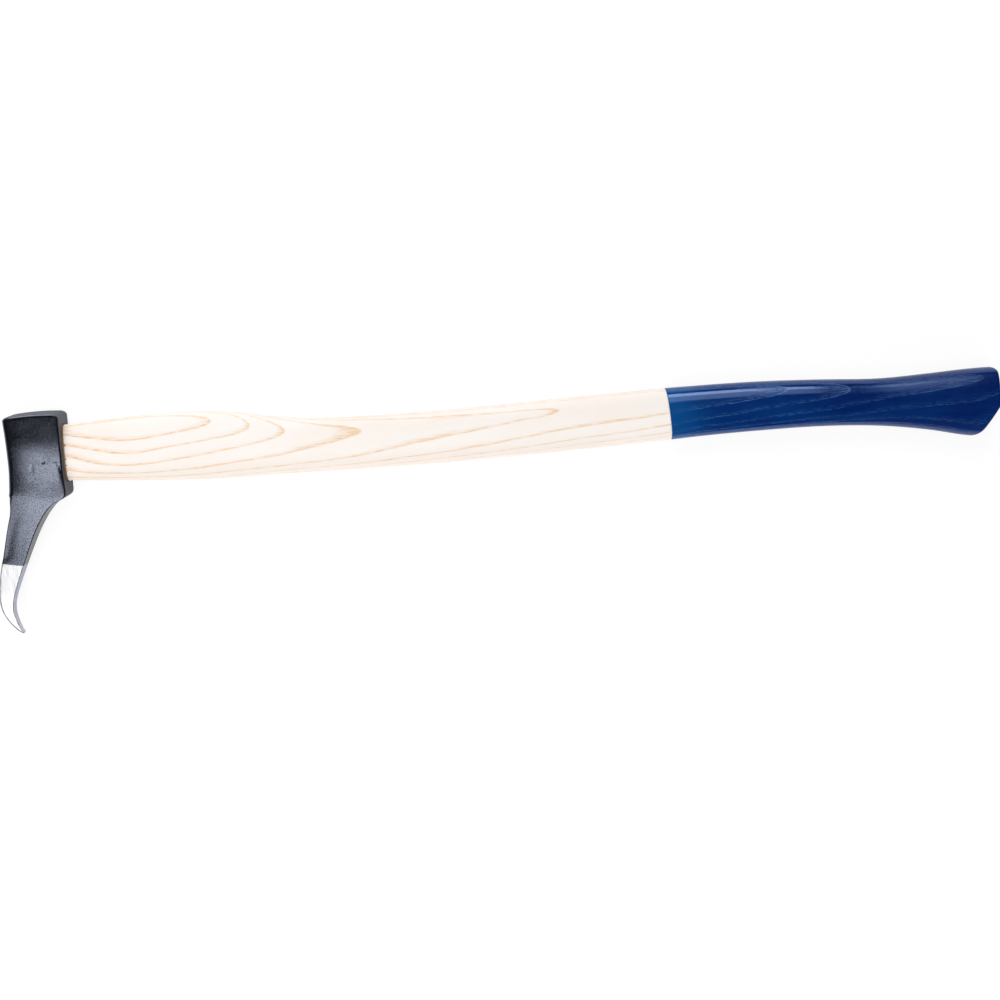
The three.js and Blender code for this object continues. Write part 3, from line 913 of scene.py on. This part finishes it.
def make_coat(form):
    points = COAT_POINTS
    thick, bead = form.lacquer.thickness, form.lacquer.bead
    start = form.dip_line
    outer = form.butt_sections(start, COAT_SPACING, 0, points, COAT_RIM_STEPS, COAT_CAP_STEPS)
    inner = form.butt_sections(start, INSIDE_SPACING, thick, points, HIDDEN_RIM_STEPS, HIDDEN_CAP_STEPS)
    for i, section in enumerate(outer[:COAT_LEANED]):
        at = section[0].x
        proud = bead * (1 - eased(at, start, start + BEAD_REACH))
        outer[i] = form.lean(form.ring(at, -proud, points), max(at, start))
    for i, section in enumerate(inner[:HIDDEN_LEANED]):
        inner[i] = form.lean(section, max(section[0].x, start))
    lip = []
    reach = (thick + bead) / 2
    for i in range(LIP_STEPS + 1):
        turn = i / LIP_STEPS * math.pi
        inset = (thick - bead) / 2 + reach * math.cos(turn)
        lip.append(form.lean(form.ring(start + reach * (1 - math.sin(turn)), inset, points), start))
    return skin("lacquer_coat", list(reversed(inner[1:])) + lip + outer[1:])


# Materials

# Nearly all of a noise lies between these marks
NOISE_MARKS = (0.3, 0.7)
# Noise: its scale, detail and roughness, and a factor for each axis, of which one under 1
# draws it out that way
PATTERNS = {
    "line_wander": (42, 2, 0.5, (0.35, 1, 1)),
    "band_width": (60, 2, 0.5, (0.25, 1, 1)),
    "band_streak": (1000, 3, 0.6, (0.1, 1, 1)),
    "wood_patch": (48, 2, 0.5, (0.2, 1, 1)),
    "wood_fibre": (900, 5, 0.68, (0.04, 1, 1)),
    "wood_tone": (34, 2, 0.5, (0.25, 1, 1)),
    "wood_pore": (1500, 2, 0.6, (0.14, 1, 1)),
    "eye_nick": (330, 1, 0.5, (0.5, 1, 0.3)),
    "lacquer_cloud": (90, 3, 0.5, (0.3, 1, 1)),
    "lacquer_pore": (1200, 3, 0.65, (0.2, 1, 1)),
    "lacquer_satin": (420, 3, 0.5, None),
    "lacquer_peel": (620, 2, 0.5, (0.35, 1, 1)),
    "scale_speck": (820, 5, 0.8, None),
    "scale_blotch": (190, 3, 0.6, None),
    "scale_bare": (420, 1, 0.5, None),
    "grind_edge": (900, 2, 0.5, None),
    "grind_scratch": (1300, 3, 0.6, (1, 0.06, 1)),
    "beech_fleck": (2400, 3, 0.6, (1, 0.3, 1)),
    "beech_shade": (260, 3, 0.5, None),
    "zinc_spangle": (900, 3, 0.6, None),
}

# Growth lines. Where four numbers follow a name, the first two are marks and the last two
# the values there.
LINE_WANDER = 0.0007
LINE_START = (-0.035, 0.02)
BAND_SHARES = (0.18, 0.32)
WIDER_AT_EYE = (0.03, 0.10, 0.22, 0.0)
LOOP_THINNING = (0.285, 0.335, 0.0, 0.8)
STREAKS = (0.32, 0.56, 0.3)
STREAK_FADE = 0.12

# Ash
LINE_STRENGTH = (0.85, 1.0)
TONE_MARKS = (0.35, 0.7, 0.0, 0.3)
# The wood turns warmer and darker towards its edge on the side the pick points to, between two places
# across the handle
LOW_EDGE_DARKENING = (-0.006, -0.019, 0.0, 0.5)
FIBRE_TONE = (0.46, 0.74, 0.0, 0.45)
PORE_MARKS = (0.58, 0.7)
PORE_LINES = (0.25, 0.7)
PORE_DEPTH = 0.55
NICKS = (0.62, 0.68, 0.0, 0.0012)
# Bruised wood and painted shade in the gap at the eye's mouth: where the band starts and ends along the
# handle, and how dark it gets
BRUISE_AND_SHADE_START = (0.0165, 0.0185)
BRUISE_AND_SHADE_END = (0.0208, 0.0204)
BRUISE_AND_SHADE_DEPTH = 0.9
ASH_ROUGHNESS = (0.52, 0.66)
ASH_RELIEF = 0.00007
ASH_GLOSS = 0.25

# Lacquer: lengths are from the edge of the dip or from the butt
LINE_SPREAD = 0.2
THIN_REACH = 0.035
DEEP_START = 0.05
DEEP_END = 0.06
CLOUD_DEPTH = 0.22
# The grain's pores, and how the painted highlight along the grain fades from the edge of the dip down to
# the share that is left
GRAIN_PORES = (0.42, 0.56)
GRAIN_HIGHLIGHT_FADE = (0.03, 0.15)
GRAIN_HIGHLIGHT_LEFT = 0.5
LACQUER_ROUGHNESS = (0.1, 0.16)
BUTT_SATIN = (0.12, 0.06)
BUTT_ROUGHNESS = 0.05
LINE_ROUGHNESS = 0.07
PEEL_SHARE = 0.3
LACQUER_RELIEF = 0.00005
LACQUER_TINT = (0.46, 0.63, 1.0, 1.0)

# The coated forging and its ground pick
PIT_SCALE = 950
PIT_MARKS = (0.12, 0.42)
BARE_MARKS = (0.5, 0.68)
WORN_MARKS = (0.42, 0.66)
WORN_LEVEL = (0.3, 1.0)
GRIND_LEAN = -0.15
GRIND_BACK = 0.0313
GRIND_RAGGED = 0.0004
GRIND_EDGE = (-0.0001, 0.0001)
SCRATCH_MARKS = (0.42, 0.68, 0.0, 0.5)
SIDE_SATIN = (0.25, 0.6, 0.34, 0.0)
SIDE_SATIN_START = (-0.034, -0.03)
SCALE_ROUGHNESS = (0.14, 0.29)
CROWN_GLOSS = (0.003, 0.014, 1.0, 0.76)
PIT_ROUGHNESS = 0.08
GROUND_ROUGHNESS = (0.35, 0.65, 0.3, 0.36)
PIT_RELIEF_SHARE = 0.25
SCRATCH_RELIEF_SHARE = 0.3
SCALE_RELIEF = 0.000045
COATING_IOR = 1.68
COATING_TINT = (0.74, 0.8, 1.0, 1.0)
COATED_GLOSS = 0.95

# The wedges
BEECH_FLECK = (0.25, 0.13, 0.055)
BEECH_FLECK_MARKS = (0.4, 0.68)
BEECH_SHADE = (0.62, 0.44, 0.26)
BEECH_SHADE_DEPTH = 0.4
BEECH_ROUGHNESS = (0.55, 0.75)
BEECH_RELIEF = 0.0001
ZINC_SHADE = (0.36, 0.37, 0.39)
ZINC_MARKS = (0.35, 0.7)
ZINC_ROUGHNESS = (0.28, 0.5)
ZINC_RELIEF = 0.00005


class Field:
    """A number or colour that the nodes of a material work out at every point."""

    def __init__(self, socket):
        self.socket = socket
        self.tree = socket.id_data

    def __add__(self, other):
        return maths("ADD", self, other)

    def __sub__(self, other):
        return maths("SUBTRACT", self, other)

    def __rsub__(self, other):
        return maths("SUBTRACT", other, self)

    def __mul__(self, other):
        return maths("MULTIPLY", self, other)

    def __truediv__(self, other):
        return maths("DIVIDE", self, other)

    def ranged(self, low, high, to_low=0.0, to_high=1.0, kind="SMOOTHSTEP"):
        """Its place between two marks, eased and brought to a new range."""
        inputs = {"Value": self, "From Min": low, "From Max": high, "To Min": to_low, "To Max": to_high}
        return field(self.tree, "MapRange", inputs, "Result", interpolation_type=kind)

    def spread(self, low, high):
        """Noise brought to a range."""
        return self.ranged(*NOISE_MARKS, low, high)


def new_node(tree, kind, inputs, **choices):
    """A new node with its choices made and its inputs fed."""
    node = tree.nodes.new("ShaderNode" + kind)
    for choice, value in choices.items():
        setattr(node, choice, value)
    for place, value in inputs.items():
        if isinstance(value, Field):
            tree.links.new(value.socket, node.inputs[place])
        else:
            node.inputs[place].default_value = value
    return node


def field(tree, kind, inputs, output=0, **choices):
    return Field(new_node(tree, kind, inputs, **choices).outputs[output])


def maths(operation, *values, clamped=False):
    tree = next(value.tree for value in values if isinstance(value, Field))
    return field(tree, "Math", dict(enumerate(values)), operation=operation, use_clamp=clamped)


def mixed(way, start, end):
    """A colour part of the way between two."""
    start, end = (value if isinstance(value, Field) else (*value, 1) for value in (start, end))
    return field(way.tree, "Mix", {"Factor": way, 6: start, 7: end}, 2, data_type="RGBA")


def pattern(at, name):
    """One of the noises, drawn out along the grain or the grinding where it says so."""
    scale, detail, roughness, drawn = PATTERNS[name]
    if drawn:
        at = field(at.tree, "Mapping", {"Vector": at, "Scale": drawn}, "Vector")
    inputs = {"Vector": at, "Scale": scale, "Detail": detail, "Roughness": roughness}
    return field(at.tree, "TexNoise", inputs, "Fac")


def axes(at):
    return [Field(output) for output in new_node(at.tree, "SeparateXYZ", {0: at}).outputs]


def bumped(height, distance):
    return field(height.tree, "Bump", {"Strength": 1.0, "Distance": distance, "Height": height}, "Normal")


def new_material(name):
    """A new material, and the object's coordinates, which its patterns read."""
    material = bpy.data.materials.new(name)
    material.use_nodes = True
    material.node_tree.nodes.clear()
    return material, field(material.node_tree, "TexCoord", {}, "Object")


def shaded(material, inputs, kind="BsdfPrincipled"):
    """The material with its shader, whose inputs are fed."""
    shader = field(material.node_tree, kind, inputs)
    new_node(material.node_tree, "OutputMaterial", {"Surface": shader})
    return material


def ring_count(at, handle):
    """How many years' growth lie between a point and the pith. The pith runs under the
    handle and rises along it, so that the growth lines run out of the surface in loops."""
    x, y, z = axes(at)
    rise = 0.0
    for factor in reversed(PITH_RISE):
        rise = x * (rise + factor)
    depth = z - (MIDDLE - PITH_DEPTH) - rise - x * y * PITH_LEAN
    side = y + PITH_SIDE
    far = maths("SQRT", depth * depth + side * side)
    far = far + (pattern(at, "line_wander") - 0.5) * LINE_WANDER
    return (BARK_RADIUS - far) / handle.ring_width


def growth_bands(at, count, spread=0.0):
    """Strength of the porous band that starts each year: it starts sharply and fades
    into the year in short streaks, further where the cut runs along it near the eye."""
    into = 0.5 - maths("FRACT", count + 0.5)
    x = axes(at)[0]
    wide = pattern(at, "band_width").spread(*(share_of + spread for share_of in BAND_SHARES))
    wide = wide + x.ranged(*WIDER_AT_EYE)
    closing = maths("COMPARE", count, LAST_LOOP, 0.5) * x.ranged(*LOOP_THINNING)
    fade = maths("DIVIDE", into, wide * (1.0 - closing), clamped=True)
    body = into.ranged(*LINE_START) * (1.0 - fade)
    return body * (pattern(at, "band_streak") - fade * STREAK_FADE).ranged(*STREAKS)


def ash_material(handle):
    material, at = new_material("waxed_ash")
    x, y, _ = axes(at)
    lines = growth_bands(at, ring_count(at, handle)) * pattern(at, "wood_patch").spread(*LINE_STRENGTH)
    fibre = pattern(at, "wood_fibre")
    # Random tone, and wood that turns warmer and darker towards the edge on the side the pick points to
    tone_and_edge_darkening = maths("MAXIMUM", pattern(at, "wood_tone").ranged(*TONE_MARKS), y.ranged(*LOW_EDGE_DARKENING))
    wood = mixed(tone_and_edge_darkening, handle.pale_wood, handle.warm_wood)
    wood = mixed(fibre.ranged(*FIBRE_TONE), wood, handle.warm_wood)
    wood = mixed(lines, wood, handle.growth_line)
    pores = pattern(at, "wood_pore").ranged(*PORE_MARKS) * lines.ranged(*PORE_LINES)
    wood = mixed(pores * PORE_DEPTH, wood, handle.pore)
    # A ragged band of painted shade, with some bruised wood, where the handle leaves the eye
    mouth = x - pattern(at, "eye_nick").ranged(*NICKS, kind="LINEAR")
    bruise_and_gap_shade = mouth.ranged(*BRUISE_AND_SHADE_END) * x.ranged(*BRUISE_AND_SHADE_START)
    return shaded(material, {
        "Base Color": mixed(bruise_and_gap_shade * BRUISE_AND_SHADE_DEPTH, wood, handle.bruised_and_shaded),
        "Roughness": fibre.spread(*ASH_ROUGHNESS),
        "Normal": bumped(fibre * 0.5 - lines * 0.5, ASH_RELIEF),
        "Specular IOR Level": ASH_GLOSS,
    })


def lacquer_material(lacquer, handle, form):
    material, at = new_material("blue_dip_lacquer")
    bands = growth_bands(at, ring_count(at, handle), LINE_SPREAD)
    x = axes(at)[0]
    start = form.dip_line
    blue = mixed(x.ranged(start, start + THIN_REACH), lacquer.thin_coat, lacquer.full_coat)
    blue = mixed(x.ranged(start + DEEP_START, BUTT_END - DEEP_END), blue, lacquer.deep_coat)
    blue = mixed(pattern(at, "lacquer_cloud").spread(0.0, CLOUD_DEPTH), blue, lacquer.thin_coat)
    # Pore streaks along the grain raise a real relief, and the paler blue on them is a painted highlight,
    # strongest near the edge of the dip
    grain = bands * pattern(at, "lacquer_pore").ranged(*GRAIN_PORES)
    grain_highlight_share = x.ranged(*(start + reach for reach in GRAIN_HIGHLIGHT_FADE), 1.0, GRAIN_HIGHLIGHT_LEFT)
    satin = x.ranged(*(BUTT_END - reach for reach in BUTT_SATIN), 0.0, BUTT_ROUGHNESS)
    satin = pattern(at, "lacquer_satin").spread(*LACQUER_ROUGHNESS) + satin
    peel = pattern(at, "lacquer_peel") * PEEL_SHARE
    return shaded(material, {
        "Base Color": mixed(grain * grain_highlight_share, blue, lacquer.grain),
        "Roughness": satin + bands * LINE_ROUGHNESS,
        "Normal": bumped(peel - (grain + bands), LACQUER_RELIEF),
        "Specular IOR Level": COATED_GLOSS,
        "Specular Tint": LACQUER_TINT,
    })


def head_material(head):
    material, at = new_material("coated_forging")
    x, y, _ = axes(at)
    speck = pattern(at, "scale_speck")
    pits = field(at.tree, "TexVoronoi", {"Vector": at, "Scale": PIT_SCALE}, "Distance").ranged(*PIT_MARKS)
    pits = maths("MAXIMUM", pits, pattern(at, "scale_bare").ranged(*BARE_MARKS))
    worn = speck.ranged(*WORN_MARKS) * pattern(at, "scale_blotch").spread(*WORN_LEVEL)
    coat = mixed(worn, head.coating, head.worn_coating)
    line = (x + GRIND_BACK) * GRIND_LEAN + head.grind_line
    ragged = (pattern(at, "grind_edge") - 0.5) * GRIND_RAGGED
    ground = (line + ragged - y).ranged(*GRIND_EDGE)
    coated = 1.0 - ground
    scratch = pattern(at, "grind_scratch")
    steel = mixed(scratch.ranged(*SCRATCH_MARKS), head.ground_steel, head.scratch)
    up = axes(field(at.tree, "NewGeometry", {}, "Normal"))[2]
    side = maths("ABSOLUTE", up).ranged(*SIDE_SATIN) * y.ranged(*SIDE_SATIN_START)
    satin = speck.spread(*SCALE_ROUGHNESS) * y.ranged(*CROWN_GLOSS) + side
    satin = satin + pits.ranged(0.0, 1.0, PIT_ROUGHNESS, 0.0)
    relief = (speck + pits * PIT_RELIEF_SHARE) * coated + scratch * ground * SCRATCH_RELIEF_SHARE
    return shaded(material, {
        "Base Color": mixed(ground, coat, steel),
        "Metallic": ground,
        "Roughness": satin * coated + scratch.ranged(*GROUND_ROUGHNESS) * ground,
        "Normal": bumped(relief, SCALE_RELIEF),
        "IOR": COATING_IOR,
        "Specular IOR Level": COATED_GLOSS,
        "Specular Tint": COATING_TINT,
    })


def beech_material(wedges):
    material, at = new_material("beech_wedge")
    fleck = pattern(at, "beech_fleck")
    wood = mixed(fleck.ranged(*BEECH_FLECK_MARKS), wedges.beech, BEECH_FLECK)
    return shaded(material, {
        "Base Color": mixed(pattern(at, "beech_shade").spread(0.0, BEECH_SHADE_DEPTH), wood, BEECH_SHADE),
        "Roughness": fleck.spread(*BEECH_ROUGHNESS),
        "Normal": bumped(fleck, BEECH_RELIEF),
    })


def zinc_material(wedges):
    material, at = new_material("zinc_plate")
    spangle = pattern(at, "zinc_spangle")
    return shaded(material, {
        "Base Color": mixed(spangle.ranged(*ZINC_MARKS), wedges.zinc, ZINC_SHADE),
        "Metallic": 1.0,
        "Roughness": spangle.spread(*ZINC_ROUGHNESS),
        "Normal": bumped(spangle, ZINC_RELIEF),
    })


# Studio

# The pale walls fade out up to this height, and sooner where the pick points
WALL_EDGE = 0.1
WALL_DROP = -0.25
# The floor lies a hair under the tool. Where it is seen it gets fully white between two
# distances, and its own colour and glow add up to this
FLOOR_DROP = -0.0002
FLOOR_FADE = (0.7, 2.6)
FLOOR_WHITE = 1.07
# The power that gives a lamp of one square metre a radiance of 1
LAMP_POWER = 4


def studio_world(studio):
    """Pale walls all round up to head height, and a dim ceiling over the tool."""
    world = bpy.data.worlds.new("studio")
    bpy.context.scene.world = world
    world.use_nodes = True
    tree = world.node_tree
    tree.nodes.clear()
    _, y, up = axes(field(tree, "TexCoord", {}, "Generated"))
    height = up + maths("MINIMUM", y, 0.0) * WALL_DROP
    glow = height.ranged(0.0, WALL_EDGE, studio.wall_light, studio.ceiling_light)
    glow = maths("MAXIMUM", glow, field(tree, "LightPath", {}, "Is Camera Ray"))
    light = field(tree, "Background", {"Color": (1, 1, 1, 1), "Strength": glow})
    new_node(tree, "OutputWorld", {"Surface": light})


def studio_floor(studio):
    mesh = bmesh.new()
    bmesh.ops.create_grid(mesh, x_segments=2, y_segments=2, size=studio.floor_size / 2)
    bmesh.ops.translate(mesh, verts=mesh.verts, vec=(0, 0, FLOOR_DROP))
    floor = to_object("studio_floor", mesh)
    material, at = new_material("pale_floor")
    tree = at.tree
    seen, glossy, through = (
        field(tree, "LightPath", {}, f"Is {ray} Ray") for ray in ("Camera", "Glossy", "Transmission")
    )
    away = field(tree, "VectorMath", {0: at}, "Value", operation="LENGTH")
    white = seen * away.ranged(*FLOOR_FADE, studio.floor_glow, 1.0)
    mirrored = maths("MAXIMUM", glossy, through) * (1 - studio.floor_grey)
    colour_seen = mixed(seen, (studio.floor_grey,) * 3, (FLOOR_WHITE - studio.floor_glow,) * 3)
    matt = field(tree, "BsdfDiffuse", {"Color": colour_seen})
    glow = field(tree, "Emission", {"Strength": white + mirrored})
    floor.data.materials.append(shaded(material, {0: matt, 1: glow}, "AddShader"))


def softbox(name, at, aim, size, radiance, reflected=True):
    """A large soft lamp that faces a point, with its width along the tool."""
    data = bpy.data.lights.new(name, "AREA")
    data.shape = "RECTANGLE"
    data.size, data.size_y = size
    data.energy = LAMP_POWER * radiance * size[0] * size[1]
    lamp = bpy.data.objects.new(name, data)
    back = (Vector(at) - Vector(aim)).normalized()
    across = (Vector((1, 0, 0)) - back * back.x).normalized()
    turned = Matrix((across, back.cross(across), back)).transposed()
    lamp.matrix_world = Matrix.Translation(at) @ turned.to_4x4()
    lamp.visible_camera = False
    lamp.visible_glossy = reflected
    bpy.context.scene.collection.objects.link(lamp)


def studio_lamps(studio):
    aim = (studio.aim[0], 0, MIDDLE)
    softbox("side_softbox", (0.01, 1.37, 0.84), aim, (1.88, 0.54), studio.side_light)
    softbox("upper_side_softbox", (0.01, 0.98, 1.27), aim, (1.88, 0.66), studio.upper_side_light)
    softbox("head_softbox", (-0.42, -0.66, 1.48), (0, -0.05, MIDDLE), (0.42, 0.74), studio.head_light)
    softbox("front_fill", (0.35, -1.45, 0.68), aim, (2.4, 0.9), studio.front_fill, False)
    softbox("top_fill", (0.35, 0, 2.2), aim, (2.4, 1.6), studio.top_fill, False)


def studio_camera(studio):
    data = bpy.data.cameras.new("camera")
    data.lens = studio.lens
    data.sensor_width = 36
    data.clip_start, data.clip_end = 0.05, 50
    camera = bpy.data.objects.new("camera", data)
    tilt, turn = studio.camera_tilt, studio.camera_turn
    back = Vector((
        math.sin(tilt) * math.sin(turn),
        math.sin(tilt) * math.cos(turn),
        math.cos(tilt),
    ))
    camera.location = Vector(studio.aim) + back * studio.camera_reach
    camera.rotation_euler = (-tilt, 0, -turn)
    bpy.context.scene.collection.objects.link(camera)
    bpy.context.scene.camera = camera


class PICKAROON_OT_head(Operator):
    """Forge the head: the block round the eye, the arm and the ground pick"""

    bl_idname = "pickaroon.head"
    bl_label = "Forged head"

    def execute(self, context):
        head = context.scene.pickaroon_head
        finish_piece(make_head(head), "pick_head", head_material(head), HEAD_SHARPNESS)
        return {"FINISHED"}


class PICKAROON_OT_handle(Operator):
    """Shape the ash handle, from its tenon in the eye to the butt"""

    bl_idname = "pickaroon.handle"
    bl_label = "Ash handle"

    def execute(self, context):
        form = HandleForm(context.scene)
        finish_piece(make_handle(form), "handle", ash_material(form.handle))
        return {"FINISHED"}


class PICKAROON_OT_lacquer(Operator):
    """Dip the grip of the handle in lacquer"""

    bl_idname = "pickaroon.lacquer"
    bl_label = "Lacquer dip"

    def execute(self, context):
        form = HandleForm(context.scene)
        material = lacquer_material(form.lacquer, form.handle, form)
        finish_piece(make_coat(form), "lacquer_dip", material)
        return {"FINISHED"}


class PICKAROON_OT_wedges(Operator):
    """Drive the wooden wedge and the ring wedge into the tenon"""

    bl_idname = "pickaroon.wedges"
    bl_label = "Eye wedges"

    def execute(self, context):
        wedges = context.scene.pickaroon_wedges
        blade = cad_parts["wooden_wedge"]
        blade.data.materials.clear()
        blade.data.materials.append(beech_material(wedges))
        finish_piece(make_ring(), "ring_wedge", zinc_material(wedges))
        return {"FINISHED"}


class PICKAROON_OT_studio(Operator):
    """Set up the pale floor, the soft lamps and the camera"""

    bl_idname = "pickaroon.studio"
    bl_label = "Studio"

    def execute(self, context):
        studio = context.scene.pickaroon_studio
        context.scene.view_settings.view_transform = "Standard"
        studio_camera(studio)
        studio_world(studio)
        studio_floor(studio)
        studio_lamps(studio)
        return {"FINISHED"}


OPERATORS = (
    PICKAROON_OT_studio,
    PICKAROON_OT_head,
    PICKAROON_OT_handle,
    PICKAROON_OT_lacquer,
    PICKAROON_OT_wedges,
)


class PICKAROON_PT_panel(Panel):
    """Lists the steps that build the pickaroon"""

    bl_idname = "PICKAROON_PT_panel"
    bl_label = "Pickaroon"
    bl_space_type = "VIEW_3D"
    bl_region_type = "UI"
    bl_category = "Pickaroon"

    def draw(self, context):
        for step in OPERATORS:
            self.layout.operator(step.bl_idname)


SETTINGS = {
    "pickaroon_head": HeadSettings,
    "pickaroon_handle": HandleSettings,
    "pickaroon_lacquer": LacquerSettings,
    "pickaroon_wedges": WedgeSettings,
    "pickaroon_studio": StudioSettings,
}


def register():
    for kind in (*SETTINGS.values(), *OPERATORS, PICKAROON_PT_panel):
        bpy.utils.register_class(kind)
    for name, kind in SETTINGS.items():
        setattr(bpy.types.Scene, name, PointerProperty(type=kind))


def unregister():
    for name in SETTINGS:
        delattr(bpy.types.Scene, name)
    for kind in reversed((*SETTINGS.values(), *OPERATORS, PICKAROON_PT_panel)):
        bpy.utils.unregister_class(kind)


def main():
    register()
    bpy.ops.pickaroon.studio()
    bpy.ops.pickaroon.head()
    bpy.ops.pickaroon.handle()
    bpy.ops.pickaroon.lacquer()
    bpy.ops.pickaroon.wedges()


if __name__ == "__main__":
    main()
